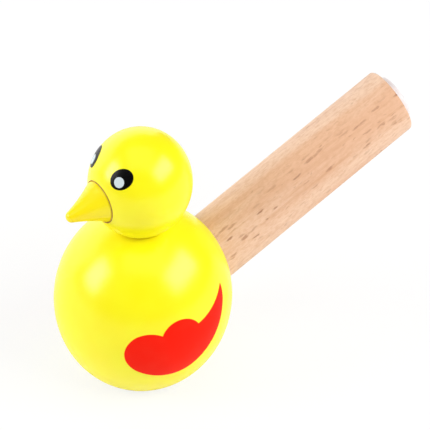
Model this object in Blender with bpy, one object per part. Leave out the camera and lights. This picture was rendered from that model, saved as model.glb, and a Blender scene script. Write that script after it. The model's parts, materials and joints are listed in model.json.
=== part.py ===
"""Wooden bird whistle: an egg-shaped body, a ball head, a cone beak and a pipe for a tail.

The bird faces -X and its tail pipe points to +X. The origin is on the flat foot, straight under the
middle of the body. All the pieces are glued together, and the player blows into the end of the tail.
"""
import math

import bmesh
import bpy
from mathutils import Matrix, Vector

MM = 0.001

# Fit between pieces, and the height of the painted shapes over the lacquer
GLUE_LINE = 0.3 * MM
PAINT_FILM = 0.15 * MM

# Body: a turned egg that leans back, with a flat foot
BODY_RADIUS = 22.5 * MM
BODY_HALF_LENGTH = 24.95 * MM
BODY_LEAN = math.radians(9.0)
FOOT_CUT = 4.2 * MM
SOCKET_CUTTER_END = 83.9 * MM

# Head: a turned ball, a little taller than wide, straight over the middle of the body
HEAD_RADIUS = 12.85 * MM
HEAD_HALF_HEIGHT = 14.0 * MM
HEAD_LEAN = math.radians(6.5)

# Seat: how much is cut off the top of the egg and off the underside of the ball
BODY_SEAT_CUT = 1.05 * MM
HEAD_SEAT_CUT = 2.2 * MM

# Pin that joins head and body
DOWEL_RADIUS = 3.0 * MM
DOWEL_LENGTH = 16.0 * MM
DOWEL_CHAMFER = 0.6 * MM

# Beak: a turned cone on a short round stub that sits in the head
BEAK_RADIUS = 5.3 * MM
BEAK_STUB_LENGTH = 4.5 * MM
BEAK_STUB_SHOW = 0.5 * MM
BEAK_REACH = 9.35 * MM
BEAK_TIP_RADIUS = 1.5 * MM
BEAK_HOLLOW = 0.35 * MM
BEAK_SEAM_DEPTH = 1.0 * MM
BEAK_DROP = 0.8 * MM
BEAK_DIP = math.radians(6.7)

# Eyes: ovals with a pale round spot, painted by hand and not quite level
LEFT_EYE_AZIMUTH = math.radians(32.2)
LEFT_EYE_ELEVATION = math.radians(38.0)
RIGHT_EYE_AZIMUTH = math.radians(38.4)
RIGHT_EYE_ELEVATION = math.radians(35.1)
EYE_HALF_LENGTH = 3.05 * MM
EYE_HALF_WIDTH = 2.45 * MM
EYE_TURN = math.radians(37.0)
SPOT_RADIUS = 1.3 * MM
SPOT_FORWARD = 0.4 * MM
SPOT_DROP = 0.85 * MM

# Tail pipe: a dowel with a blind bore, set in the back of the body and sawn a little out of square
TAIL_RADIUS = 8.83 * MM
TAIL_RISE_ANGLE = math.radians(21.94)
TAIL_AXIS_DROP = 2.36 * MM
TAIL_IN_BODY = 13.5 * MM
TAIL_SHOW = 61.65 * MM
TAIL_EDGE_RADIUS = 0.5 * MM
TAIL_CHAMFER = 0.6 * MM
END_SLANT = math.radians(4.5)
BORE_RADIUS = 5.1 * MM
BORE_DEPTH = 64.0 * MM

# Mouth plug: a plastic insert with a rim, and the flat air slot along it
PLUG_DEPTH = 15.0 * MM
PLUG_CHAMFER = 0.4 * MM
RIM_OVERHANG = 1.1 * MM
RIM_HEIGHT = 1.7 * MM
RIM_EDGE_RADIUS = 0.4 * MM
WINDWAY_HEIGHT = 1.4 * MM

# Sounding window: a square hole under the pipe, with a ramp cut to a thin lip
WINDOW_LENGTH = 5.0 * MM
WINDOW_WIDTH = 7.0 * MM
RAMP_LENGTH = 8.0 * MM
LIP_THICKNESS = 0.4 * MM

# Facets
BODY_SIDES = 72
HEAD_SIDES = 56
PIPE_SIDES = 48
BEAK_SIDES = 40
PIN_SIDES = 24


def egg_reach(radius, half_length, lean):
    """How high the top of a leaning egg stands over its middle."""
    return math.hypot(half_length * math.cos(lean), radius * math.sin(lean))


# Heights over the flat foot, worked out from the sizes above
BODY_REACH = egg_reach(BODY_RADIUS, BODY_HALF_LENGTH, BODY_LEAN)
BODY_MIDDLE = BODY_REACH - FOOT_CUT
BODY_SEAT = BODY_MIDDLE + BODY_REACH - BODY_SEAT_CUT
HEAD_SEAT = BODY_SEAT + GLUE_LINE
HEAD_MIDDLE = HEAD_SEAT - HEAD_SEAT_CUT + egg_reach(HEAD_RADIUS, HEAD_HALF_HEIGHT, HEAD_LEAN)

# Ends of the pipe, along its axis from the middle of the body
TAIL_START = BODY_RADIUS - TAIL_IN_BODY
TAIL_END = BODY_RADIUS + TAIL_SHOW

# Colours
YELLOW = (0.97, 0.87, 0.04)
BEAK_YELLOW = (0.96, 0.70, 0.03)
RED = (0.90, 0.03, 0.02)
BEECH = (0.80, 0.55, 0.36)
BARE_WOOD = (0.74, 0.54, 0.36)
PLASTIC_WHITE = (0.86, 0.84, 0.85)
EYE_BLACK = (0.01, 0.01, 0.01)
EYE_WHITE = (0.80, 0.84, 0.86)


def clear_scene():
    for item in list(bpy.data.objects):
        bpy.data.objects.remove(item, do_unlink=True)


def finish(name, colour, roughness):
    """A plain finish with the piece's own colour."""
    made = bpy.data.materials.new(name)
    made.use_nodes = True
    shader = made.node_tree.nodes["Principled BSDF"]
    shader.inputs["Base Color"].default_value = (*colour, 1.0)
    shader.inputs["Roughness"].default_value = roughness
    shader.inputs["Metallic"].default_value = 0.0
    return made


def put_in_scene(name, mesh_builder, material):
    """Turn a bmesh into a named object, shaded smooth with crisp corners."""
    bmesh.ops.recalc_face_normals(mesh_builder, faces=mesh_builder.faces)
    mesh = bpy.data.meshes.new(name)
    mesh_builder.to_mesh(mesh)
    mesh_builder.free()
    mesh.materials.append(material)
    mesh.shade_smooth()
    mesh.set_sharp_from_angle(angle=math.radians(35))
    made = bpy.data.objects.new(name, mesh)
    bpy.context.scene.collection.objects.link(made)
    return made


def arc_points(centre, radius, start, end, steps):
    """Points on a round arc, from one angle to another, both ends in."""
    points = []
    for step in range(steps + 1):
        angle = start + (end - start) * step / steps
        points.append((centre[0] + radius * math.cos(angle), centre[1] + radius * math.sin(angle)))
    return points


def arc_through(start, middle, end, steps):
    """Points on the round arc through three points, without its last point."""
    ax, ay = start
    bx, by = middle
    cx, cy = end
    twice_area = 2 * (ax * (by - cy) + bx * (cy - ay) + cx * (ay - by))
    a2, b2, c2 = ax * ax + ay * ay, bx * bx + by * by, cx * cx + cy * cy
    centre = (
        (a2 * (by - cy) + b2 * (cy - ay) + c2 * (ay - by)) / twice_area,
        (a2 * (cx - bx) + b2 * (ax - cx) + c2 * (bx - ax)) / twice_area,
    )
    radius = math.hypot(ax - centre[0], ay - centre[1])
    first = math.atan2(ay - centre[1], ax - centre[0])
    last = math.atan2(cy - centre[1], cx - centre[0])
    if twice_area > 0 and last < first:
        last += 2 * math.pi
    if twice_area < 0 and last > first:
        last -= 2 * math.pi
    return arc_points(centre, radius, first, last, steps)[:-1]


def turned(name, profile, sides, material):
    """A turned piece: a profile of (radius, height) points spun round the Z axis."""
    builder = bmesh.new()
    points = [builder.verts.new((radius, 0.0, height)) for radius, height in profile]
    edges = [builder.edges.new(pair) for pair in zip(points, points[1:])]
    bmesh.ops.spin(
        builder,
        geom=points + edges,
        cent=(0, 0, 0),
        axis=(0, 0, 1),
        angle=2 * math.pi,
        steps=sides,
        use_merge=True,
    )
    bmesh.ops.remove_doubles(builder, verts=builder.verts, dist=0.001 * MM)
    return put_in_scene(name, builder, material)


def egg_profile(radius, half_length, steps):
    """Half an ellipse, from the bottom of the axis to the top."""
    points = arc_points((0, 0), 1.0, -math.pi / 2, math.pi / 2, steps)
    points[0] = (0.0, -1.0)
    points[-1] = (0.0, 1.0)
    return [(radius * x, half_length * z) for x, z in points]


def prism(name, outline, low, high, material):
    """A flat outline of (x, y) points, extruded along Z from low to high."""
    builder = bmesh.new()
    face = builder.faces.new([builder.verts.new((x, y, low)) for x, y in outline])
    grown = bmesh.ops.extrude_face_region(builder, geom=[face])
    lifted = [item for item in grown["geom"] if isinstance(item, bmesh.types.BMVert)]
    bmesh.ops.translate(builder, verts=lifted, vec=(0, 0, high - low))
    return put_in_scene(name, builder, material)


def as_cutter(item):
    item.hide_render = True
    item.display_type = "WIRE"
    return item


def cut_or_join(target, tool, operation):
    """A Boolean that also brings the tool's finish to the faces it makes."""
    step = target.modifiers.new(tool.name, "BOOLEAN")
    step.operation = operation
    step.object = as_cutter(tool)
    step.solver = "EXACT"
    step.material_mode = "TRANSFER"


def wing_outline():
    """The painted wing seen from the side, as x and z from the middle of the body.

    Its long point reaches up towards the tail. The upper edge has two scallops, and the front end is a
    broad round lobe.
    """
    tip = (11.8 * MM, 10.3 * MM)
    inner_notch = (2.0 * MM, 5.3 * MM)
    outer_notch = (-7.7 * MM, 4.9 * MM)
    lobe_top = (-13.4 * MM, 4.8 * MM)
    lobe_bottom = (-12.8 * MM, -6.3 * MM)
    belly = (2.0 * MM, -6.0 * MM)
    shoulder = (11.3 * MM, 5.8 * MM)
    points = arc_through(tip, (6.4 * MM, 6.7 * MM), inner_notch, 6)
    points += arc_through(inner_notch, (-2.7 * MM, 8.15 * MM), outer_notch, 9)
    points += arc_through(outer_notch, (-10.5 * MM, 5.8 * MM), lobe_top, 4)
    points += arc_through(lobe_top, (-15.9 * MM, -0.1 * MM), lobe_bottom, 9)
    points += arc_through(lobe_bottom, (-5.6 * MM, -8.5 * MM), belly, 8)
    points += arc_through(belly, (7.5 * MM, -0.8 * MM), shoulder, 8)
    points += arc_through(shoulder, (11.85 * MM, 8.0 * MM), tip, 3)
    return points


def build_body(paint, wing_paint, bare_wood):
    """The egg, its painted wings, the foot, and the holes for the head's pin and the tail pipe."""
    centre = Vector((0, 0, BODY_MIDDLE))
    body = turned("body", egg_profile(BODY_RADIUS, BODY_HALF_LENGTH, 36), BODY_SIDES, paint)
    film_profile = egg_profile(BODY_RADIUS + PAINT_FILM, BODY_HALF_LENGTH + PAINT_FILM, 36)
    wings = turned("wing_film", film_profile, BODY_SIDES, wing_paint)
    for item in (body, wings):
        item.location = centre
        item.rotation_euler.y = BODY_LEAN

    # The wing's outline runs right through the egg, so both sides get the same wing
    reach = BODY_RADIUS + 4 * MM
    wing_shape = prism("wing_shape", wing_outline(), -reach, reach, wing_paint)
    wing_shape.location = centre
    wing_shape.rotation_euler.x = math.pi / 2
    cut_or_join(wings, wing_shape, "INTERSECT")
    cut_or_join(body, wings, "UNION")

    slab = 2 * BODY_RADIUS
    square = [(-slab, -slab), (slab, -slab), (slab, slab), (-slab, slab)]
    cut_or_join(body, prism("foot_cut", square, -slab, 0.0, bare_wood), "DIFFERENCE")
    seat_cut = prism("seat_cut", square, BODY_SEAT, BODY_SEAT + slab, bare_wood)
    cut_or_join(body, seat_cut, "DIFFERENCE")

    socket_floor = TAIL_START - GLUE_LINE
    socket_radius = TAIL_RADIUS + GLUE_LINE
    socket = bored("tail_socket", socket_radius, socket_floor, SOCKET_CUTTER_END, PIPE_SIDES, bare_wood)
    place_on_tail_axis(socket)
    cut_or_join(body, socket, "DIFFERENCE")
    cut_or_join(body, dowel_hole("body_pin_hole", bare_wood), "DIFFERENCE")
    return body


def bored(name, radius, low, high, sides, material):
    """The room a round cutter takes, between two heights on its axis."""
    profile = [(0.0, low), (radius, low), (radius, high), (0.0, high)]
    return turned(name, profile, sides, material)


def dowel_hole(name, material):
    """The blind hole on both sides of the seat, as long as the pin and a glue line at each end."""
    half = DOWEL_LENGTH / 2 + GLUE_LINE
    hole = bored(name, DOWEL_RADIUS + GLUE_LINE, -half, half, PIN_SIDES, material)
    hole.location = seat_middle()
    return hole


def seat_middle():
    """The middle of the glue line between body and head."""
    return Vector((0, 0, (BODY_SEAT + HEAD_SEAT) / 2))


def build_neck_dowel(bare_wood):
    half = DOWEL_LENGTH / 2
    neck = DOWEL_RADIUS - DOWEL_CHAMFER
    profile = [
        (0.0, -half),
        (neck, -half),
        (DOWEL_RADIUS, -half + DOWEL_CHAMFER),
        (DOWEL_RADIUS, half - DOWEL_CHAMFER),
        (neck, half),
        (0.0, half),
    ]
    dowel = turned("neck_dowel", profile, PIN_SIDES, bare_wood)
    dowel.location = seat_middle()
    return dowel


def head_centre():
    return Vector((0, 0, HEAD_MIDDLE))


def eye_frame(side):
    """Where an eye looks: a frame with Z straight out of the head and X towards the beak.

    side is -1 on the bird's left, which faces -Y, and 1 on its right.
    """
    azimuth = LEFT_EYE_AZIMUTH if side < 0 else RIGHT_EYE_AZIMUTH
    elevation = LEFT_EYE_ELEVATION if side < 0 else RIGHT_EYE_ELEVATION
    out = Vector((
        -math.cos(elevation) * math.cos(azimuth),
        side * math.cos(elevation) * math.sin(azimuth),
        math.sin(elevation),
    ))
    forward = Vector((-math.sin(azimuth), -side * math.cos(azimuth), 0.0))
    down = Vector((0, 0, -1)) + out * out.z
    down.normalize()
    dipped = forward * math.cos(EYE_TURN) + down * math.sin(EYE_TURN)
    across = out.cross(dipped)
    return Matrix((dipped, across, out)).transposed(), forward, down


def oval(half_length, half_width, steps):
    ring = arc_points((0, 0), 1.0, 0.0, 2 * math.pi, steps)[:-1]
    return [(half_length * x, half_width * y) for x, y in ring]


def painted_on_head(name, film, outline, forward_shift, drop, material):
    """A film of paint on the head inside an outline that is repeated on both sides."""
    profile = egg_profile(HEAD_RADIUS + film, HEAD_HALF_HEIGHT + film, 24)
    patch = turned(name, profile, HEAD_SIDES, material)
    patch.location = head_centre()
    patch.rotation_euler.y = HEAD_LEAN
    both = bmesh.new()
    for side in (-1, 1):
        turn, forward, down = eye_frame(side)
        shift = forward * forward_shift + down * drop
        low = HEAD_RADIUS - 3 * MM
        ring = [both.verts.new(turn @ Vector((x, y, low)) + shift) for x, y in outline]
        face = both.faces.new(ring)
        grown = bmesh.ops.extrude_face_region(both, geom=[face])
        lifted = [item for item in grown["geom"] if isinstance(item, bmesh.types.BMVert)]
        bmesh.ops.translate(both, verts=lifted, vec=turn @ Vector((0, 0, 6 * MM)))
    outlines = put_in_scene(name + "_shape", both, material)
    outlines.location = head_centre()
    cut_or_join(patch, outlines, "INTERSECT")
    return patch


def build_head(paint, eye_black, eye_white, bare_wood):
    """The ball, its painted eyes, its flat seat, and the holes for the pin and the beak."""
    head = turned("head", egg_profile(HEAD_RADIUS, HEAD_HALF_HEIGHT, 24), HEAD_SIDES, paint)
    head.location = head_centre()
    head.rotation_euler.y = HEAD_LEAN
    eye = oval(EYE_HALF_LENGTH, EYE_HALF_WIDTH, 28)
    spot = oval(SPOT_RADIUS, SPOT_RADIUS, 20)
    black = painted_on_head("eye_film", PAINT_FILM, eye, 0.0, 0.0, eye_black)
    white = painted_on_head("spot_film", 2 * PAINT_FILM, spot, SPOT_FORWARD, SPOT_DROP, eye_white)
    cut_or_join(head, black, "UNION")
    cut_or_join(head, white, "UNION")

    slab = 2 * HEAD_RADIUS
    square = [(-slab, -slab), (slab, -slab), (slab, slab), (-slab, slab)]
    seat_cut = prism("head_seat_cut", square, HEAD_SEAT - slab, HEAD_SEAT, bare_wood)
    cut_or_join(head, seat_cut, "DIFFERENCE")
    cut_or_join(head, dowel_hole("head_pin_hole", bare_wood), "DIFFERENCE")
    socket = bored(
        "beak_socket",
        BEAK_RADIUS + GLUE_LINE,
        -BEAK_STUB_LENGTH - GLUE_LINE,
        BEAK_REACH,
        BEAK_SIDES,
        bare_wood,
    )
    place_on_beak_axis(socket)
    cut_or_join(head, socket, "DIFFERENCE")
    return head


def place_on_beak_axis(item):
    """Z runs along the beak to its tip, and the seam is at height 0."""
    item.location = head_centre() + Vector((BEAK_SEAM_DEPTH - HEAD_RADIUS, 0, -BEAK_DROP))
    item.rotation_euler.y = -(math.pi / 2 + BEAK_DIP)


def build_beak(beak_paint):
    """A slightly hollow cone that runs into its round tip, on a stub that fills the socket."""
    tip_centre = BEAK_REACH - BEAK_TIP_RADIUS
    cone_length = tip_centre - BEAK_STUB_SHOW
    slope = math.atan2(BEAK_RADIUS - BEAK_TIP_RADIUS, cone_length)
    tip = arc_points((0, tip_centre), BEAK_TIP_RADIUS, slope, math.pi / 2, 7)
    tip[-1] = (0.0, BEAK_REACH)
    cone_foot = (BEAK_RADIUS, BEAK_STUB_SHOW)
    halfway = (
        (cone_foot[0] + tip[0][0]) / 2 - BEAK_HOLLOW * math.cos(slope),
        (cone_foot[1] + tip[0][1]) / 2 - BEAK_HOLLOW * math.sin(slope),
    )
    profile = [(0.0, -BEAK_STUB_LENGTH), (BEAK_RADIUS, -BEAK_STUB_LENGTH)]
    profile += arc_through(cone_foot, halfway, tip[0], 6)
    beak = turned("beak", profile + tip, BEAK_SIDES, beak_paint)
    place_on_beak_axis(beak)
    return beak


def place_on_tail_axis(item):
    """Z runs along the pipe to its mouth end, X points to its underside, and 0 is under the egg's middle."""
    item.location = (0, 0, BODY_MIDDLE - TAIL_AXIS_DROP)
    item.rotation_euler.y = math.pi / 2 - TAIL_RISE_ANGLE


def slant_mouth_end(item):
    """Move the mouth end along the pipe as a saw cut out of square does: the +Y side is the longer one."""
    start = TAIL_END - TAIL_EDGE_RADIUS - GLUE_LINE
    for vertex in item.data.vertices:
        if vertex.co.z > start:
            vertex.co.z += vertex.co.y * math.tan(END_SLANT)


def build_tail_tube(beech):
    """The pipe with its softened mouth end, its blind bore, and the sounding window underneath."""
    floor = TAIL_END - BORE_DEPTH
    edge = TAIL_EDGE_RADIUS
    profile = [
        (0.0, TAIL_START),
        (TAIL_RADIUS - TAIL_CHAMFER, TAIL_START),
        (TAIL_RADIUS, TAIL_START + TAIL_CHAMFER),
    ]
    profile += arc_points((TAIL_RADIUS - edge, TAIL_END - edge), edge, 0.0, math.pi / 2, 5)
    profile += [(BORE_RADIUS, TAIL_END), (BORE_RADIUS, floor), (0.0, floor)]
    pipe = turned("tail_tube", profile, PIPE_SIDES, beech)
    slant_mouth_end(pipe)
    place_on_tail_axis(pipe)

    # Side view of the window: along the pipe, then outwards from its axis
    window_end = TAIL_END - PLUG_DEPTH
    lip = window_end - WINDOW_LENGTH
    outside = TAIL_RADIUS + 1 * MM
    lip_height = BORE_RADIUS + LIP_THICKNESS
    ramp_foot = lip - RAMP_LENGTH * (outside - lip_height) / (TAIL_RADIUS - lip_height)
    inside = BORE_RADIUS / 2
    side_view = [
        (inside, window_end),
        (inside, lip),
        (lip_height, lip),
        (outside, ramp_foot),
        (outside, window_end),
    ]
    window = prism("window_cut", side_view, -WINDOW_WIDTH / 2, WINDOW_WIDTH / 2, beech)
    place_on_tail_axis(window)
    stand_in_middle_plane(window)
    cut_or_join(pipe, window, "DIFFERENCE")
    return pipe


def stand_in_middle_plane(item):
    """Stand a side view in the pipe's middle plane: its X stays, and its Y runs along the pipe."""
    turn = Matrix.Rotation(item.rotation_euler.y, 4, "Y") @ Matrix.Rotation(math.pi / 2, 4, "X")
    item.rotation_euler = turn.to_euler()


def build_mouth_plug(plastic):
    """The plastic insert: a plug in the bore, a rim outside, and the air slot right through both."""
    radius = BORE_RADIUS - GLUE_LINE
    inner_end = TAIL_END - PLUG_DEPTH
    rim_radius = radius + RIM_OVERHANG
    rim_seat = TAIL_END + GLUE_LINE
    rim_face = TAIL_END + RIM_HEIGHT
    edge = RIM_EDGE_RADIUS
    profile = [
        (0.0, inner_end),
        (radius - PLUG_CHAMFER, inner_end),
        (radius, inner_end + PLUG_CHAMFER),
        (radius, rim_seat),
        (rim_radius, rim_seat),
    ]
    profile += arc_points((rim_radius - edge, rim_face - edge), edge, 0.0, math.pi / 2, 4)
    profile += [(0.0, rim_face)]
    plug = turned("mouth_plug", profile, PIPE_SIDES, plastic)
    slant_mouth_end(plug)
    place_on_tail_axis(plug)

    # A flat along the plug, and above it the round of the bore, which the rim closes
    flat = radius - WINDWAY_HEIGHT
    top = radius + GLUE_LINE / 2
    spread = math.acos(flat / top)
    slot_outline = arc_points((0, 0), top, -spread, spread, 10)
    slot_end = rim_face + rim_radius * math.tan(END_SLANT) + 1 * MM
    slot = prism("windway_cut", slot_outline, inner_end - 1 * MM, slot_end, plastic)
    place_on_tail_axis(slot)
    cut_or_join(plug, slot, "DIFFERENCE")
    return plug


def main():
    clear_scene()
    paint = finish("yellow_lacquer", YELLOW, 0.25)
    beak_paint = finish("orange_yellow_lacquer", BEAK_YELLOW, 0.3)
    wing_paint = finish("red_paint", RED, 0.3)
    eye_black = finish("black_paint", EYE_BLACK, 0.2)
    eye_white = finish("white_paint", EYE_WHITE, 0.3)
    bare_wood = finish("bare_hardwood", BARE_WOOD, 0.7)
    beech = finish("beech", BEECH, 0.6)
    plastic = finish("white_plastic", PLASTIC_WHITE, 0.35)
    build_body(paint, wing_paint, bare_wood)
    build_neck_dowel(bare_wood)
    build_head(paint, eye_black, eye_white, bare_wood)
    build_beak(beak_paint)
    build_tail_tube(beech)
    build_mouth_plug(plastic)


main()
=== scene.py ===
"""The looks of a wooden bird whistle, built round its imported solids.

The bird faces -X and its pipe rises towards +X. Lengths are in metres. Each turned piece is made again
with a finer mesh in its solid's place, and the wings and eyes are thin films of paint on the lacquer.
"""

import json
import math

import bmesh
import bpy
from mathutils import Matrix, Vector

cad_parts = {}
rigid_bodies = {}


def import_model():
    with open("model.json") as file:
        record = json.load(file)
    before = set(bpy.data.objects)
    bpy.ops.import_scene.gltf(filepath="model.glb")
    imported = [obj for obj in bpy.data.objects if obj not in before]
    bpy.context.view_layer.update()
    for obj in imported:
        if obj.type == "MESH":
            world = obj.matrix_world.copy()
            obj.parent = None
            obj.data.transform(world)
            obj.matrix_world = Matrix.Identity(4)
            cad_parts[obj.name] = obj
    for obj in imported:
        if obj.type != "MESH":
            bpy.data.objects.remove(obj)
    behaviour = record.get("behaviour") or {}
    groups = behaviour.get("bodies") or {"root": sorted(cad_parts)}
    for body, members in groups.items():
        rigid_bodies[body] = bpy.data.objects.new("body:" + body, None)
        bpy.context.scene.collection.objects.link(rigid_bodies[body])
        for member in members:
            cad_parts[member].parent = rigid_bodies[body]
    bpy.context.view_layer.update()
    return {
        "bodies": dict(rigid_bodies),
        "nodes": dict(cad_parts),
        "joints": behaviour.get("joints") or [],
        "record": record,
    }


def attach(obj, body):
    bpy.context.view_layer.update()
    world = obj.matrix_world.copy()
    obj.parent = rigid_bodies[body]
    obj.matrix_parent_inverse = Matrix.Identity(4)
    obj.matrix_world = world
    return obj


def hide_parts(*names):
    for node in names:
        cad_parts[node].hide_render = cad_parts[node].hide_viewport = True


MM = 0.001
TAU = 2 * math.pi

# The solids' own sizes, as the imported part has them
BODY_RADIUS = 22.5 * MM
BODY_HALF_LENGTH = 24.95 * MM
BODY_LEAN = math.radians(9.0)
FOOT_CUT = 4.2 * MM
BODY_SEAT_CUT = 1.05 * MM
HEAD_RADIUS = 12.85 * MM
HEAD_HALF_HEIGHT = 14.0 * MM
HEAD_LEAN = math.radians(6.5)
HEAD_SEAT_CUT = 2.2 * MM
GLUE_LINE = 0.3 * MM
DOWEL_RADIUS = 3.0 * MM
DOWEL_LENGTH = 16.0 * MM
BEAK_RADIUS = 5.3 * MM
BEAK_STUB_LENGTH = 4.5 * MM
BEAK_STUB_SHOW = 0.5 * MM
BEAK_REACH = 9.35 * MM
BEAK_TIP_RADIUS = 1.5 * MM
BEAK_HOLLOW = 0.35 * MM
BEAK_SEAM_DEPTH = 1.0 * MM
BEAK_DROP = 0.8 * MM
BEAK_DIP = math.radians(6.7)
EYE_AZIMUTH = {"left": math.radians(32.2), "right": math.radians(38.4)}
EYE_ELEVATION = {"left": math.radians(38.0), "right": math.radians(35.1)}
EYE_HALF_LENGTH = 3.05 * MM
EYE_HALF_WIDTH = 2.45 * MM
EYE_TURN = math.radians(37.0)
SPOT_RADIUS = 1.3 * MM
SPOT_FORWARD = 0.4 * MM
SPOT_DROP = 0.85 * MM
TAIL_RADIUS = 8.83 * MM
TAIL_RISE_ANGLE = math.radians(21.94)
TAIL_AXIS_DROP = 2.36 * MM
TAIL_IN_BODY = 13.5 * MM
TAIL_SHOW = 61.65 * MM
TAIL_CHAMFER = 0.6 * MM
END_SLANT = math.radians(4.5)
BORE_RADIUS = 5.1 * MM
BORE_DEPTH = 64.0 * MM
PLUG_DEPTH = 15.0 * MM
PLUG_CHAMFER = 0.4 * MM
RIM_OVERHANG = 1.1 * MM
RIM_HEIGHT = 1.7 * MM
RIM_EDGE_RADIUS = 0.4 * MM
WINDWAY_HEIGHT = 1.4 * MM
WINDOW_LENGTH = 5.0 * MM
WINDOW_WIDTH = 7.0 * MM
RAMP_LENGTH = 8.0 * MM
LIP_THICKNESS = 0.4 * MM

# What the finer pieces add
PAINT_FILM = 0.06 * MM
PAINT_UNDER = 0.15 * MM
SEAM_BEAD = 0.17 * MM
END_SOFTENING = 0.8 * MM
NECK_GLUE_RADIUS = 6.1 * MM
NECK_GLUE_SHIFT = 0.2 * MM
BORE_EDGE = 0.25 * MM
BEAK_FOOT = 0.1 * MM
SLANT_LENGTH = 1.0 * MM

# The band of the beech, in millimetres across its rays, where the figure is darkest
BAND_MIDDLE = 2.2
BAND_REACH = 6.0

# How far the beech's rays are turned round the pipe
RAY_TURN = math.radians(-49.0)

# How fine the meshes are, and the angle from which an edge is crisp
EGG_SIDES = 210
EGG_RINGS = 128
PIPE_SIDES = 144
SMALL_SIDES = 96
CRISP_ANGLE = math.radians(32.0)
MERGE_DISTANCE = 0.001 * MM

# The photograph's camera: its direction in degrees, its place seen from the body's middle, its lens
CAMERA_AZIMUTH = -34.802
CAMERA_ELEVATION = 38.125
CAMERA_FROM_BODY = Vector((-238.652, -375.196, 374.539)) * MM
CAMERA_LENS = 192.58
CAMERA_SENSOR = 36.0

# How bright the room is, on the surfaces and as their gloss shows it
ROOM_LIGHT = 0.23
ROOM_IN_GLOSS = 0.14

# Where the lamps stand and point, in metres
LAMP_DISTANCE = 0.7
LAMP_AIM = Vector((0.01, 0, 0.03))

# The floor's half width and how far it lies under the foot, in metres, and how far its see-through patch
# there reaches, in millimetres
FLOOR_REACH = 3.0
FLOOR_GAP = 0.02 * MM
FLOOR_PATCH = 12.0


def egg_reach(radius, half_length, lean):
    """How high the top of a leaning egg stands over its middle."""
    return math.hypot(half_length * math.cos(lean), radius * math.sin(lean))


BODY_REACH = egg_reach(BODY_RADIUS, BODY_HALF_LENGTH, BODY_LEAN)
BODY_MIDDLE = Vector((0, 0, BODY_REACH - FOOT_CUT))
BODY_SEAT = BODY_MIDDLE.z + BODY_REACH - BODY_SEAT_CUT
HEAD_SEAT = BODY_SEAT + GLUE_LINE
HEAD_REACH = egg_reach(HEAD_RADIUS, HEAD_HALF_HEIGHT, HEAD_LEAN)
HEAD_MIDDLE = Vector((0, 0, HEAD_SEAT - HEAD_SEAT_CUT + HEAD_REACH))
TAIL_START = BODY_RADIUS - TAIL_IN_BODY
TAIL_END = BODY_RADIUS + TAIL_SHOW
SLANT_START = TAIL_END - SLANT_LENGTH

# Frames of the pieces: Z runs along the beak to its tip, and along the pipe to its mouth end
WHOLE = Matrix.Identity(4)
PIPE_FRAME = (
    Matrix.Translation(BODY_MIDDLE - Vector((0, 0, TAIL_AXIS_DROP)))
    @ Matrix.Rotation(math.pi / 2 - TAIL_RISE_ANGLE, 4, "Y")
)
BEAK_FRAME = (
    Matrix.Translation(HEAD_MIDDLE + Vector((BEAK_SEAM_DEPTH - HEAD_RADIUS, 0, -BEAK_DROP)))
    @ Matrix.Rotation(-(math.pi / 2 + BEAK_DIP), 4, "Y")
)


# Materials


class Wire:
    """A value or colour on its way through the shader. Sums and products of wires add Math nodes."""

    def __init__(self, net, socket):
        self.net = net
        self.socket = socket

    def calculate(self, operation, *values):
        inputs = dict(enumerate(values))
        return self.net.add("Math", {"operation": operation}, inputs)["Value"]

    def __add__(self, other):
        return self.calculate("ADD", self, other)

    def __mul__(self, other):
        return self.calculate("MULTIPLY", self, other)

    def __sub__(self, other):
        return self.calculate("SUBTRACT", self, other)

    def __rsub__(self, other):
        return self.calculate("SUBTRACT", other, self)

    def __truediv__(self, other):
        return self.calculate("DIVIDE", self, other)

    __radd__ = __add__

    def size(self):
        """How far the value is from 0."""
        return self.calculate("ABSOLUTE", self)

    def step(self, low, high):
        """0 below low and 1 above high, smooth in between. Low may be the larger one."""
        settings = {"interpolation_type": "SMOOTHSTEP"}
        inputs = {"Value": self, "From Min": low, "From Max": high}
        return self.net.add("MapRange", settings, inputs)["Result"]


class Made:
    """A node that was added. Its outputs are read by name."""

    def __init__(self, net, node):
        self.net = net
        self.node = node

    def __getitem__(self, output):
        return Wire(self.net, self.node.outputs[output])


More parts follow.
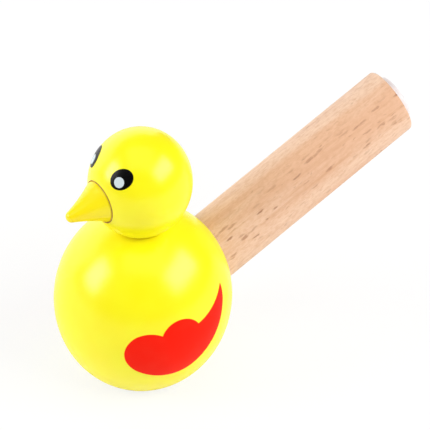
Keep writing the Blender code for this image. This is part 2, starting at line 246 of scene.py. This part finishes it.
class Net:
    """The node tree of a new material, or of the world."""

    def __init__(self, name, tree=None):
        if tree is None:
            self.material = bpy.data.materials.new(name)
            self.material.use_nodes = True
            tree = self.material.node_tree
        self.tree = tree
        self.tree.nodes.clear()

    def add(self, kind, settings, inputs):
        """Add a node, set it up, and give its sockets their values or links."""
        node = self.tree.nodes.new("ShaderNode" + kind)
        for name, value in settings.items():
            setattr(node, name, value)
        for name, value in inputs.items():
            socket = node.inputs[name]
            if isinstance(value, Wire):
                self.tree.links.new(value.socket, socket)
            else:
                socket.default_value = value
        return Made(self, node)

    def place(self, frame):
        """Object coordinates in millimetres, in a piece's own frame."""
        coordinates = self.add("TexCoord", {}, {})["Object"]
        inputs = {
            "Vector": coordinates,
            "Location": frame.translation,
            "Rotation": frame.to_euler(),
            "Scale": (MM, MM, MM),
        }
        return self.add("Mapping", {"vector_type": "TEXTURE"}, inputs)["Vector"]

    def stretch(self, vector, scale, shift=(0, 0, 0)):
        """The vector times the scale, plus the shift."""
        inputs = {0: vector, 1: scale, 2: shift}
        return self.add("VectorMath", {"operation": "MULTIPLY_ADD"}, inputs)["Vector"]

    def noise(self, vector, scale=1.0, detail=2.0, roughness=0.5, distortion=0.0):
        inputs = {
            "Vector": vector,
            "Scale": scale,
            "Detail": detail,
            "Roughness": roughness,
            "Distortion": distortion,
        }
        return self.add("TexNoise", {}, inputs)["Fac"]

    def blend(self, factor, first, second):
        """The first colour where the factor is 0, the second where it is 1."""
        settings = {"data_type": "RGBA"}
        made = self.add("Mix", settings, {0: factor})
        for socket, value in ((made.node.inputs[6], first), (made.node.inputs[7], second)):
            if isinstance(value, Wire):
                self.tree.links.new(value.socket, socket)
            else:
                socket.default_value = (*value, 1.0)
        return Wire(self, made.node.outputs[2])

    def bump(self, height, distance, strength=1.0):
        inputs = {"Height": height, "Distance": distance, "Strength": strength}
        return self.add("Bump", {}, inputs)["Normal"]

    def finish(self, inputs):
        """Close the material with the surface shader and these inputs."""
        shader = self.add("BsdfPrincipled", {}, inputs)["BSDF"]
        self.add("OutputMaterial", {}, {"Surface": shader})
        return self.material


def lacquer(name, colour, thin_colour):
    """Sprayed gloss lacquer: a faint orange peel, and a colour that is a little uneven."""
    net = Net(name)
    place = net.place(WHOLE)
    cloud = net.noise(place, scale=0.11, detail=2.0)
    peel = net.noise(place, scale=0.9, detail=2.0, roughness=0.4)
    wave = net.noise(place, scale=0.16, detail=1.0)
    colour = net.blend(cloud.step(0.35, 0.75), colour, thin_colour)
    height = peel * 0.2 + wave
    return net.finish({
        "Base Color": colour,
        "Roughness": 0.25 + peel * 0.03,
        "Normal": net.bump(height, distance=0.003 * MM, strength=0.5),
        "Specular IOR Level": 0.46,
    })


def print_paint(name, colour, worn_colour, roughness, shine):
    """Printed paint on the lacquer, a little thinner in places."""
    net = Net(name)
    place = net.place(WHOLE)
    cloud = net.noise(place, scale=0.25, detail=3.0)
    peel = net.noise(place, scale=1.3, detail=2.0, roughness=0.4)
    return net.finish({
        "Base Color": net.blend(cloud.step(0.4, 0.8), colour, worn_colour),
        "Roughness": roughness + peel * 0.06,
        "Normal": net.bump(peel, distance=0.01 * MM, strength=0.5),
        "Specular IOR Level": shine,
    })


def wood(name, frame, pale, mid, dark, fleck):
    """Beech with its grain along the frame's Z: soft streaks, fine fibres and short dark rays.

    The rays are thin sheets that lie along the frame's Y, so they show as short dashes where the
    surface faces Y and as wide flakes where it faces X.
    """
    net = Net(name)
    place = net.place(frame)
    broad = net.noise(net.stretch(place, (0.13, 0.05, 0.012)), detail=2.0)
    streak = net.noise(net.stretch(place, (0.9, 0.35, 0.05)), detail=4.0, roughness=0.6, distortion=0.3)
    fibre = net.noise(net.stretch(place, (3.4, 3.4, 0.5)), detail=3.0, roughness=0.65)
    mottle = net.noise(net.stretch(place, (1.3, 1.3, 0.6)), detail=3.0, roughness=0.6, distortion=0.4)
    wobble = net.noise(net.stretch(place, (0.35, 0.2, 0.1)), detail=1.0)

    # The wood is darker in one band, where the rays lie in rows. Past one side of it, it is paler:
    # painted sheen, which on the pipe lies along its upper edge
    across = net.add("SeparateXYZ", {}, {"Vector": place})["X"]
    band = (across - BAND_MIDDLE).size().step(BAND_REACH, 0.3 * BAND_REACH)
    painted_top_sheen = across.step(BAND_MIDDLE - BAND_REACH, BAND_MIDDLE - 1.8 * BAND_REACH)
    rows = net.noise(net.stretch(place, (0.9, 0.2, 0.015), shift=(4, 0, 0)), detail=1.0).step(0.36, 0.5)

    # A drift of up to a few millimetres makes the outlines of the rays ragged
    sway = {"Vector": net.stretch(place, (1.1, 0.4, 0.5)), "Scale": 1.0}
    drift = net.add("TexNoise", {}, sway)["Color"]
    ragged = net.stretch(drift, (0.9, 0.9, 3.0), shift=place)
    rays = ray_flecks(net, ragged, scale=(0.95, 0.14, 0.21), shift=(0, 0, 0), share=0.9, size=0.42)
    rays = rays * (0.1 + band * rows * 0.9)
    fine = ray_flecks(net, ragged, scale=(1.5, 0.3, 0.36), shift=(17, 5, 3), share=0.5, size=0.36)

    # The pale colour goes on the broad patches, which are the wood's own tone, and on the side with the
    # painted sheen
    colour = net.blend((broad.step(0.35, 0.65) + painted_top_sheen).step(0.0, 1.0), mid, pale)
    colour = net.blend(band * 0.3, colour, dark)
    colour = net.blend(streak.step(0.45, 0.75) * (0.35 + band * 0.3), colour, dark)
    colour = net.blend(mottle.step(0.4, 0.7) * 0.4, colour, dark)
    colour = net.blend(fibre.step(0.45, 0.75) * 0.4, colour, dark)
    colour = net.blend(fine * wobble.step(0.3, 0.6) * 0.5, colour, fleck)
    colour = net.blend(rays, colour, fleck)
    height = fibre + streak * 0.5 - rays * 0.6
    return net.finish({
        "Base Color": colour,
        "Roughness": 0.5 + fibre * 0.14,
        "Normal": net.bump(height, distance=0.05 * MM, strength=0.6),
    })


def ray_flecks(net, place, scale, shift, share, size):
    """Short lens-shaped dashes, one in a share of the cells of a stretched pattern.

    The size is a dash's greatest reach, as a part of its cell. Each cell draws its own reach and depth.
    """
    inputs = {"Vector": net.stretch(place, scale, shift), "Scale": 1.0, "Randomness": 1.0}
    cells = net.add("TexVoronoi", {"feature": "F1"}, inputs)
    lots = net.add("SeparateColor", {}, {"Color": cells["Color"]})
    reach = (0.5 + lots["Green"] * 0.5) * size
    shape = 1 - cells["Distance"] / reach
    depth = (0.35 + lots["Blue"] * 0.65) * lots["Red"].step(share + 0.02, share)
    return shape.step(0.0, 0.6) * depth


def moulded_plastic(name, colour):
    """White plastic with the faint haze of a mould."""
    net = Net(name)
    haze = net.noise(net.place(WHOLE), scale=2.5, detail=3.0)
    hazy_colour = tuple(part * 0.96 for part in colour)
    return net.finish({
        "Base Color": net.blend(haze.step(0.3, 0.8), colour, hazy_colour),
        "Roughness": 0.32 + haze * 0.1,
        "Normal": net.bump(haze, distance=0.01 * MM, strength=0.4),
    })


def glue(name, dark, light):
    """Dried wood glue, brown as painted shade in the seams, and darker in places at random."""
    net = Net(name)
    clots = net.noise(net.place(WHOLE), scale=1.5, detail=2.0)
    return net.finish({
        "Base Color": net.blend(clots.step(0.35, 0.7), dark, light),
        "Roughness": 0.45 + clots * 0.1,
    })


# Shapes


def shade(mesh):
    """Shade a mesh smooth, with crisp corners."""
    mesh.shade_smooth()
    mesh.set_sharp_from_angle(angle=CRISP_ANGLE)


def make_piece(name, builder, materials):
    """Turn a bmesh into an object at the origin."""
    mesh = bpy.data.meshes.new(name)
    builder.to_mesh(mesh)
    builder.free()
    for material in materials:
        mesh.materials.append(material)
    shade(mesh)
    piece = bpy.data.objects.new(name, mesh)
    bpy.context.scene.collection.objects.link(piece)
    return piece


def arc_points(centre, radius, start, end, steps):
    """Points on a round arc, from one angle to another, both ends in."""
    points = []
    for step in range(steps + 1):
        angle = start + (end - start) * step / steps
        points.append((centre[0] + radius * math.cos(angle), centre[1] + radius * math.sin(angle)))
    return points


def arc_through(start, middle, end, steps):
    """Points on the round arc through three points, without its last point."""
    ax, ay = start
    bx, by = middle
    cx, cy = end
    twice_area = 2 * (ax * (by - cy) + bx * (cy - ay) + cx * (ay - by))
    a2, b2, c2 = ax * ax + ay * ay, bx * bx + by * by, cx * cx + cy * cy
    centre = (
        (a2 * (by - cy) + b2 * (cy - ay) + c2 * (ay - by)) / twice_area,
        (a2 * (cx - bx) + b2 * (ax - cx) + c2 * (bx - ax)) / twice_area,
    )
    radius = math.hypot(ax - centre[0], ay - centre[1])
    first = math.atan2(ay - centre[1], ax - centre[0])
    last = math.atan2(cy - centre[1], cx - centre[0])
    if twice_area > 0 and last < first:
        last += TAU
    if twice_area < 0 and last > first:
        last -= TAU
    return arc_points(centre, radius, first, last, steps)[:-1]


def egg_place(radius, half_length, centre, lean):
    """The matrix that makes a ball of radius 1 into an egg on its leaning axis."""
    return (
        Matrix.Translation(centre)
        @ Matrix.Rotation(lean, 4, "Y")
        @ Matrix.Diagonal((radius, radius, half_length, 1.0))
    )


def egg(radius, half_length, centre, lean):
    """A closed egg, round across its leaning axis."""
    builder = bmesh.new()
    bmesh.ops.create_uvsphere(
        builder,
        u_segments=EGG_SIDES,
        v_segments=EGG_RINGS,
        radius=1.0,
        matrix=egg_place(radius, half_length, centre, lean),
    )
    return builder


def turned(profile, sides, frame, slant_from=None):
    """A turned piece: (radius, height) points spun round the frame's Z.

    What lies above slant_from is shifted as the pipe's end is, which is sawn a little out of square.
    """
    builder = bmesh.new()
    points = [builder.verts.new((radius, 0.0, height)) for radius, height in profile]
    edges = [builder.edges.new(pair) for pair in zip(points, points[1:])]
    bmesh.ops.spin(
        builder,
        geom=points + edges,
        cent=(0, 0, 0),
        axis=(0, 0, 1),
        angle=TAU,
        steps=sides,
        use_merge=True,
    )
    bmesh.ops.remove_doubles(builder, verts=builder.verts, dist=MERGE_DISTANCE)
    if slant_from is not None:
        for vertex in builder.verts:
            if vertex.co.z > slant_from:
                vertex.co.z += vertex.co.y * math.tan(END_SLANT)
    bmesh.ops.transform(builder, matrix=frame, verts=builder.verts)
    bmesh.ops.recalc_face_normals(builder, faces=builder.faces)
    return builder


def prism(outline, low, high, frame):
    """A flat outline of (x, y) points, extruded along the frame's Z."""
    builder = bmesh.new()
    face = builder.faces.new([builder.verts.new((x, y, low)) for x, y in outline])
    grown = bmesh.ops.extrude_face_region(builder, geom=[face])
    lifted = [item for item in grown["geom"] if isinstance(item, bmesh.types.BMVert)]
    bmesh.ops.translate(builder, verts=lifted, vec=(0, 0, high - low))
    bmesh.ops.transform(builder, matrix=frame, verts=builder.verts)
    bmesh.ops.recalc_face_normals(builder, faces=builder.faces)
    return builder


def combine(piece, tool, operation):
    """Cut the tool's room out of a piece, or keep only what they share. The tool is used up."""
    step = piece.modifiers.new(tool.name, "BOOLEAN")
    step.operation = operation
    step.object = tool
    step.solver = "EXACT"
    step.material_mode = "TRANSFER"
    graph = bpy.context.evaluated_depsgraph_get()
    result = bpy.data.meshes.new_from_object(piece.evaluated_get(graph))
    piece.modifiers.clear()
    old = piece.data
    piece.data = result
    result.name = piece.name
    bpy.data.meshes.remove(old)
    spent = tool.data
    bpy.data.objects.remove(tool)
    bpy.data.meshes.remove(spent)
    shade(piece.data)


def drill(piece, profile, sides, frame, material):
    """Take a turned hole out of a piece."""
    combine(piece, make_piece("drill", turned(profile, sides, frame), [material]), "DIFFERENCE")


def cut_flat(piece, height, outward, material):
    """Saw off what lies past a level: above it where outward is 1, below it where it is -1."""
    reach = 60 * MM
    square = [(-reach, -reach), (reach, -reach), (reach, reach), (-reach, reach)]
    ends = sorted((height, height + outward * reach))
    combine(piece, make_piece("saw_cut", prism(square, *ends, WHOLE), [material]), "DIFFERENCE")


def rod(radius, low, high):
    """The profile of a plain round rod."""
    return [(0.0, low), (radius, low), (radius, high), (0.0, high)]


def settle(piece, slot, *nodes):
    """Make a finished piece part of the whistle."""
    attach(piece, "root")
    if nodes:
        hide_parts(*nodes)
    return piece


def paint_film(name, base, outline, material):
    """What an outline's tool cuts out of an egg's skin, as a thin film with its own thickness.

    base and outline are bmeshes. The film keeps the skin's faces, which have the first finish.
    """
    other = bpy.data.materials.new("spare")
    film = make_piece(name, base, [material])
    combine(film, make_piece("outline", outline, [other]), "INTERSECT")
    builder = bmesh.new()
    builder.from_mesh(film.data)
    skin = list(film.data.materials).index(material)
    walls = [face for face in builder.faces if face.material_index != skin]
    bmesh.ops.delete(builder, geom=walls, context="FACES")
    for face in builder.faces:
        face.material_index = 0
    bmesh.ops.solidify(builder, geom=builder.faces[:], thickness=PAINT_UNDER)
    bmesh.ops.recalc_face_normals(builder, faces=builder.faces)
    old = film.data
    bpy.data.objects.remove(film)
    bpy.data.meshes.remove(old)
    bpy.data.materials.remove(other)
    return make_piece(name, builder, [material])


# Pieces


def wing_outline():
    """The painted wing seen from the side, as x and z from the middle of the body."""
    tip = (11.8 * MM, 10.3 * MM)
    inner_notch = (2.0 * MM, 5.3 * MM)
    outer_notch = (-7.7 * MM, 4.9 * MM)
    lobe_top = (-13.65 * MM, 4.8 * MM)
    lobe_bottom = (-12.8 * MM, -6.3 * MM)
    belly = (2.0 * MM, -6.0 * MM)
    shoulder = (11.3 * MM, 5.8 * MM)
    points = arc_through(tip, (6.35 * MM, 6.8 * MM), inner_notch, 24)
    points += arc_through(inner_notch, (-2.7 * MM, 8.15 * MM), outer_notch, 30)
    points += arc_through(outer_notch, (-10.5 * MM, 5.8 * MM), lobe_top, 14)
    points += arc_through(lobe_top, (-16.0 * MM, 0.0), lobe_bottom, 30)
    points += arc_through(lobe_bottom, (-5.6 * MM, -8.5 * MM), belly, 30)
    points += arc_through(belly, (7.6 * MM, -0.9 * MM), shoulder, 30)
    points += arc_through(shoulder, (11.85 * MM, 8.0 * MM), tip, 10)
    return points


def make_body(yellow, bare_wood):
    """The egg with its flat foot and seat, and the sockets of the pin and the pipe."""
    body = make_piece("egg_body", egg(BODY_RADIUS, BODY_HALF_LENGTH, BODY_MIDDLE, BODY_LEAN), [yellow])
    cut_flat(body, 0.0, -1, bare_wood)
    cut_flat(body, BODY_SEAT, 1, bare_wood)
    half_pin = DOWEL_LENGTH / 2 + GLUE_LINE
    pin_frame = Matrix.Translation((0, 0, (BODY_SEAT + HEAD_SEAT) / 2))
    drill(body, rod(DOWEL_RADIUS + GLUE_LINE, -half_pin, half_pin), SMALL_SIDES, pin_frame, bare_wood)
    socket = rod(TAIL_RADIUS + GLUE_LINE / 2, TAIL_START - GLUE_LINE, TAIL_END)
    drill(body, socket, PIPE_SIDES, PIPE_FRAME, bare_wood)
    return settle(body, "yellow_lacquer", "body")


def make_wings(red):
    """The painted wings: one outline, cut through the body's skin on each side."""
    reach = BODY_RADIUS + 4 * MM
    stand_up = Matrix.Translation(BODY_MIDDLE) @ Matrix.Rotation(math.pi / 2, 4, "X")
    for side, low, high in (("left", 0.0, reach), ("right", -reach, 0.0)):
        skin = egg(BODY_RADIUS + PAINT_FILM, BODY_HALF_LENGTH + PAINT_FILM, BODY_MIDDLE, BODY_LEAN)
        outline = prism(wing_outline(), low, high, stand_up)
        settle(paint_film("wing_" + side, skin, outline, red), "red_paint")


def make_head(yellow, bare_wood):
    """The ball with its flat seat, and the sockets of the pin and the beak."""
    head = make_piece("ball_head", egg(HEAD_RADIUS, HEAD_HALF_HEIGHT, HEAD_MIDDLE, HEAD_LEAN), [yellow])
    cut_flat(head, HEAD_SEAT, -1, bare_wood)
    half_pin = DOWEL_LENGTH / 2 + GLUE_LINE
    pin_frame = Matrix.Translation((0, 0, (BODY_SEAT + HEAD_SEAT) / 2))
    drill(head, rod(DOWEL_RADIUS + GLUE_LINE, -half_pin, half_pin), SMALL_SIDES, pin_frame, bare_wood)
    socket = rod(BEAK_RADIUS + GLUE_LINE, -BEAK_STUB_LENGTH - GLUE_LINE, BEAK_REACH)
    drill(head, socket, SMALL_SIDES, BEAK_FRAME, bare_wood)
    return settle(head, "yellow_lacquer", "head")


def eye_frame(side):
    """Where an eye looks: Z straight out of the head, and X towards the beak and down."""
    sign = -1 if side == "left" else 1
    azimuth, elevation = EYE_AZIMUTH[side], EYE_ELEVATION[side]
    out = Vector((
        -math.cos(elevation) * math.cos(azimuth),
        sign * math.cos(elevation) * math.sin(azimuth),
        math.sin(elevation),
    ))
    forward = Vector((-math.sin(azimuth), -sign * math.cos(azimuth), 0.0))
    down = Vector((0, 0, -1)) + out * out.z
    down.normalize()
    dipped = forward * math.cos(EYE_TURN) + down * math.sin(EYE_TURN)
    turn = Matrix((dipped, out.cross(dipped), out)).transposed().to_4x4()
    return turn, forward, down


def make_eyes(black, white):
    """A black oval with a pale round spot on each side of the head."""
    ring = arc_points((0, 0), 1.0, 0.0, TAU, 96)[:-1]
    oval = [(EYE_HALF_LENGTH * x, EYE_HALF_WIDTH * y) for x, y in ring]
    spot = [(SPOT_RADIUS * x, SPOT_RADIUS * y) for x, y in ring]
    low = HEAD_RADIUS - 3 * MM
    high = HEAD_RADIUS + 3 * MM
    for side in ("left", "right"):
        turn, forward, down = eye_frame(side)
        eye_place = Matrix.Translation(HEAD_MIDDLE) @ turn
        skin = egg(HEAD_RADIUS + PAINT_FILM, HEAD_HALF_HEIGHT + PAINT_FILM, HEAD_MIDDLE, HEAD_LEAN)
        eye = paint_film("eye_" + side, skin, prism(oval, low, high, eye_place), black)
        settle(eye, "black_paint")
        shift = forward * SPOT_FORWARD + down * SPOT_DROP
        spot_place = Matrix.Translation(HEAD_MIDDLE + shift) @ turn
        over = 2 * PAINT_FILM
        skin = egg(HEAD_RADIUS + over, HEAD_HALF_HEIGHT + over, HEAD_MIDDLE, HEAD_LEAN)
        dot = paint_film("eye_spot_" + side, skin, prism(spot, low, high, spot_place), white)
        settle(dot, "white_paint")


def ball_height(point):
    """How far along the beak the ball's surface is, over a point of the beak's frame."""
    to_ball = egg_place(HEAD_RADIUS, HEAD_HALF_HEIGHT, HEAD_MIDDLE, HEAD_LEAN).inverted() @ BEAK_FRAME
    start = to_ball @ point
    along = to_ball.to_3x3() @ Vector((0, 0, 1))
    half = start.dot(along)
    spare = half * half - along.length_squared * (start.length_squared - 1)
    return (math.sqrt(spare) - half) / along.length_squared


def make_beak(orange_yellow, brown):
    """The cone with its round tip, and the bead of glue round its foot, whose brown is painted shade of
    the seam.
    """
    tip_centre = BEAK_REACH - BEAK_TIP_RADIUS
    slope = math.atan2(BEAK_RADIUS - BEAK_TIP_RADIUS, tip_centre - BEAK_STUB_SHOW)
    tip = arc_points((0, tip_centre), BEAK_TIP_RADIUS, slope, math.pi / 2, 16)
    tip[-1] = (0.0, BEAK_REACH)
    halfway = (
        (BEAK_RADIUS + tip[0][0]) / 2 - BEAK_HOLLOW * math.cos(slope),
        (BEAK_STUB_SHOW + tip[0][1]) / 2 - BEAK_HOLLOW * math.sin(slope),
    )
    profile = [(0.0, -BEAK_STUB_LENGTH), (BEAK_RADIUS, -BEAK_STUB_LENGTH)]
    profile += arc_through((BEAK_RADIUS, BEAK_FOOT), halfway, tip[0], 24)
    beak = make_piece("cone_beak", turned(profile + tip, SMALL_SIDES, BEAK_FRAME), [orange_yellow])
    settle(beak, "orange_yellow_lacquer", "beak")

    # The glue fills the gap between stub and socket, up to the ball's surface; its brown is painted
    # shade of the seam
    seam_radius = BEAK_RADIUS + GLUE_LINE / 2
    ring = arc_points((seam_radius, -SEAM_BEAD / 2), SEAM_BEAD, 0.0, TAU, 16)
    bead = turned(ring, SMALL_SIDES, WHOLE)
    for vertex in bead.verts:
        around = Vector((vertex.co.x, vertex.co.y, 0.0)).normalized() * seam_radius
        vertex.co.z += ball_height(around)
    bmesh.ops.transform(bead, matrix=BEAK_FRAME, verts=bead.verts)
    settle(make_piece("beak_glue", bead, [brown]), None)


def make_neck_glue(brown):
    """The thin ring of glue between the two seats, round the pin, brown as painted shade along the seam.
    """
    inner = DOWEL_RADIUS + GLUE_LINE
    middle = (NECK_GLUE_RADIUS, (BODY_SEAT + HEAD_SEAT) / 2)
    bulge = arc_points(middle, GLUE_LINE / 2, -math.pi / 2, math.pi / 2, 8)
    profile = [(inner, BODY_SEAT), *bulge, (inner, HEAD_SEAT), (inner, BODY_SEAT)]
    ring = turned(profile, SMALL_SIDES, Matrix.Translation((NECK_GLUE_SHIFT, 0, 0)))
    settle(make_piece("neck_glue", ring, [brown]), None)


def make_pipe(beech):
    """The pipe with its softened mouth end, its blind bore, and the sounding window underneath."""
    floor = TAIL_END - BORE_DEPTH
    edge = END_SOFTENING
    profile = [
        (0.0, TAIL_START),
        (TAIL_RADIUS - TAIL_CHAMFER, TAIL_START),
        (TAIL_RADIUS, TAIL_START + TAIL_CHAMFER),
    ]
    profile += arc_points((TAIL_RADIUS - edge, TAIL_END - edge), edge, 0.0, math.pi / 2, 8)
    bore_edge = (BORE_RADIUS + BORE_EDGE, TAIL_END - BORE_EDGE)
    profile += arc_points(bore_edge, BORE_EDGE, math.pi / 2, math.pi, 4)
    profile += [(BORE_RADIUS, floor), (0.0, floor)]
    pipe = make_piece("tail_pipe", turned(profile, PIPE_SIDES, PIPE_FRAME, SLANT_START), [beech])

    # Side view of the window: outwards from the axis, then along the pipe
    window_end = TAIL_END - PLUG_DEPTH
    lip = window_end - WINDOW_LENGTH
    outside = TAIL_RADIUS + 1 * MM
    lip_height = BORE_RADIUS + LIP_THICKNESS
    ramp_foot = lip - RAMP_LENGTH * (outside - lip_height) / (TAIL_RADIUS - lip_height)
    inside = BORE_RADIUS / 2
    side_view = [
        (inside, window_end),
        (inside, lip),
        (lip_height, lip),
        (outside, ramp_foot),
        (outside, window_end),
    ]
    stand = PIPE_FRAME @ Matrix.Rotation(math.pi / 2, 4, "X")
    window = prism(side_view, -WINDOW_WIDTH / 2, WINDOW_WIDTH / 2, stand)
    combine(pipe, make_piece("window_tool", window, [beech]), "DIFFERENCE")
    return settle(pipe, "beech", "tail_tube")


def make_mouth_plug(plastic):
    """The plastic insert: a plug in the bore, a rim outside, and the air slot through both."""
    radius = BORE_RADIUS - GLUE_LINE
    inner_end = TAIL_END - PLUG_DEPTH
    rim_radius = radius + RIM_OVERHANG
    rim_seat = TAIL_END + GLUE_LINE
    rim_face = TAIL_END + RIM_HEIGHT
    edge = RIM_EDGE_RADIUS
    profile = [
        (0.0, inner_end),
        (radius - PLUG_CHAMFER, inner_end),
        (radius, inner_end + PLUG_CHAMFER),
        (radius, rim_seat),
        (rim_radius, rim_seat),
    ]
    profile += arc_points((rim_radius - edge, rim_face - edge), edge, 0.0, math.pi / 2, 8)
    profile += [(0.0, rim_face)]
    plug = make_piece("mouth_insert", turned(profile, PIPE_SIDES, PIPE_FRAME, SLANT_START), [plastic])

    flat = radius - WINDWAY_HEIGHT
    top = radius + GLUE_LINE / 2
    spread = math.acos(flat / top)
    slot_end = rim_face + rim_radius * math.tan(END_SLANT) + MM
    slot = prism(arc_points((0, 0), top, -spread, spread, 24), inner_end - MM, slot_end, PIPE_FRAME)
    combine(plug, make_piece("slot_tool", slot, [plastic]), "DIFFERENCE")
    return settle(plug, "white_plastic", "mouth_plug")


# Studio


def look_from(azimuth, elevation):
    """The direction from the whistle to what stands at an azimuth and elevation in degrees."""
    a, e = math.radians(azimuth), math.radians(elevation)
    return Vector((math.sin(a) * math.cos(e), -math.cos(a) * math.cos(e), math.sin(e)))


def softbox(name, azimuth, elevation, width, height, brightness):
    """A soft rectangular lamp that faces the whistle. Brightness 1 looks white."""
    lamp = bpy.data.lights.new(name, "AREA")
    lamp.shape = "RECTANGLE"
    lamp.size = width
    lamp.size_y = height
    lamp.energy = brightness * math.pi * width * height
    placed = bpy.data.objects.new(name, lamp)
    direction = look_from(azimuth, elevation)
    placed.location = LAMP_AIM + direction * LAMP_DISTANCE
    placed.rotation_euler = direction.to_track_quat("Z", "Y").to_euler()
    placed.visible_camera = False
    bpy.context.scene.collection.objects.link(placed)


def make_camera():
    """The camera at the photograph's place and angle."""
    lens = bpy.data.cameras.new("camera")
    lens.sensor_width = CAMERA_SENSOR
    lens.lens = CAMERA_LENS
    lens.clip_start = 0.01
    lens.clip_end = 20.0
    camera = bpy.data.objects.new("camera", lens)
    camera.location = BODY_MIDDLE + CAMERA_FROM_BODY
    back = look_from(CAMERA_AZIMUTH, CAMERA_ELEVATION)
    camera.rotation_euler = back.to_track_quat("Z", "Y").to_euler()
    bpy.context.scene.collection.objects.link(camera)
    bpy.context.scene.camera = camera


def make_floor():
    """A plain white floor that keeps a faint shadow, and is see-through from below.

    Far from the whistle it fades into the white behind. It lies a hair under the foot and lets light
    through there, so the foot isn't black from below.
    """
    net = Net("white_floor")
    place = net.place(WHOLE)
    cloud = net.noise(place, scale=0.01, detail=1.0)
    distance = net.add("VectorMath", {"operation": "LENGTH"}, {0: place})["Value"]
    far = distance.step(150, 500)
    white = net.blend(cloud, (0.93, 0.93, 0.93), (0.95, 0.95, 0.95))
    paper = net.add("BsdfDiffuse", {}, {"Color": white})
    glow = net.add("Emission", {}, {"Color": (1, 1, 1, 1), "Strength": 1.0})
    seen = net.add("LightPath", {}, {})["Is Camera Ray"]
    top = net.add("MixShader", {}, {0: seen * (0.8 + far * 0.2), 1: paper["BSDF"], 2: glow["Emission"]})
    clear = net.add("BsdfTransparent", {}, {})
    under = net.add("NewGeometry", {}, {})["Backfacing"] + distance.step(FLOOR_PATCH, FLOOR_PATCH - 0.5)
    sides = net.add("MixShader", {}, {0: under, 1: top["Shader"], 2: clear["BSDF"]})
    net.add("OutputMaterial", {}, {"Surface": sides["Shader"]})
    builder = bmesh.new()
    lowered = Matrix.Translation((0, 0, -FLOOR_GAP))
    bmesh.ops.create_grid(builder, x_segments=1, y_segments=1, size=FLOOR_REACH, matrix=lowered)
    floor = make_piece("floor", builder, [net.material])


def make_sky():
    """White behind the whistle, a dimmer room round it, and a dim one where the gloss reflects it."""
    world = bpy.data.worlds.new("studio")
    bpy.context.scene.world = world
    world.use_nodes = True
    net = Net("sky", world.node_tree)
    path = net.add("LightPath", {}, {})
    room, gloss, white = (
        net.add("Background", {}, {"Color": (1, 1, 1, 1), "Strength": strength})["Background"]
        for strength in (ROOM_LIGHT, ROOM_IN_GLOSS, 1.0)
    )
    around = net.add("MixShader", {}, {0: path["Is Glossy Ray"], 1: room, 2: gloss})
    sky = net.add("MixShader", {}, {0: path["Is Camera Ray"], 1: around["Shader"], 2: white})
    net.add("OutputWorld", {}, {"Surface": sky["Shader"]})


def main():
    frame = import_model()

    yellow = lacquer("yellow_lacquer", (0.97, 0.87, 0.003), (0.97, 0.90, 0.008))
    orange_yellow = lacquer("orange_yellow_lacquer", (0.985, 0.775, 0.002), (0.985, 0.82, 0.004))
    red = print_paint(
        "red_paint",
        (0.96, 0.012, 0.002),
        (0.97, 0.018, 0.005),
        roughness=0.3,
        shine=0.06,
    )
    black = print_paint(
        "black_paint",
        (0.001, 0.001, 0.001),
        (0.002, 0.002, 0.002),
        roughness=0.25,
        shine=0.15,
    )
    white = print_paint(
        "white_paint",
        (0.63, 0.72, 0.745),
        (0.58, 0.67, 0.70),
        roughness=0.35,
        shine=0.4,
    )
    # The glue's brown is painted shade in the seams between the pieces
    brown = glue("glue_with_painted_seam_shade", dark=(0.36, 0.17, 0.01), light=(0.52, 0.28, 0.02))
    beech = wood(
        "beech",
        PIPE_FRAME @ Matrix.Rotation(RAY_TURN, 4, "Z"),
        pale=(0.835, 0.58, 0.415),
        mid=(0.77, 0.465, 0.295),
        dark=(0.62, 0.325, 0.175),
        fleck=(0.36, 0.15, 0.07),
    )
    bare_wood = wood(
        "bare_hardwood",
        WHOLE,
        pale=(0.86, 0.63, 0.43),
        mid=(0.76, 0.53, 0.33),
        dark=(0.62, 0.39, 0.22),
        fleck=(0.40, 0.22, 0.11),
    )
    plastic = moulded_plastic("white_plastic", (0.82, 0.775, 0.785))

    make_body(yellow, bare_wood)
    make_wings(red)
    make_head(yellow, bare_wood)
    make_eyes(black, white)
    make_beak(orange_yellow, brown)
    make_neck_glue(brown)
    make_pipe(beech)
    make_mouth_plug(plastic)
    pin = frame["nodes"]["neck_dowel"]
    for slot in pin.material_slots:
        slot.material = bare_wood

    make_camera()
    make_floor()
    make_sky()
    softbox("left_softbox", azimuth=-113, elevation=26, width=0.3, height=0.36, brightness=7.6)
    softbox("right_softbox", azimuth=36, elevation=36, width=0.6, height=0.34, brightness=6.2)
    softbox("backdrop_softbox", azimuth=175, elevation=14, width=1.3, height=0.6, brightness=1.5)
    softbox("top_softbox", azimuth=-35, elevation=80, width=0.7, height=0.7, brightness=0.8)
    bpy.context.scene.view_settings.view_transform = "Standard"


main()
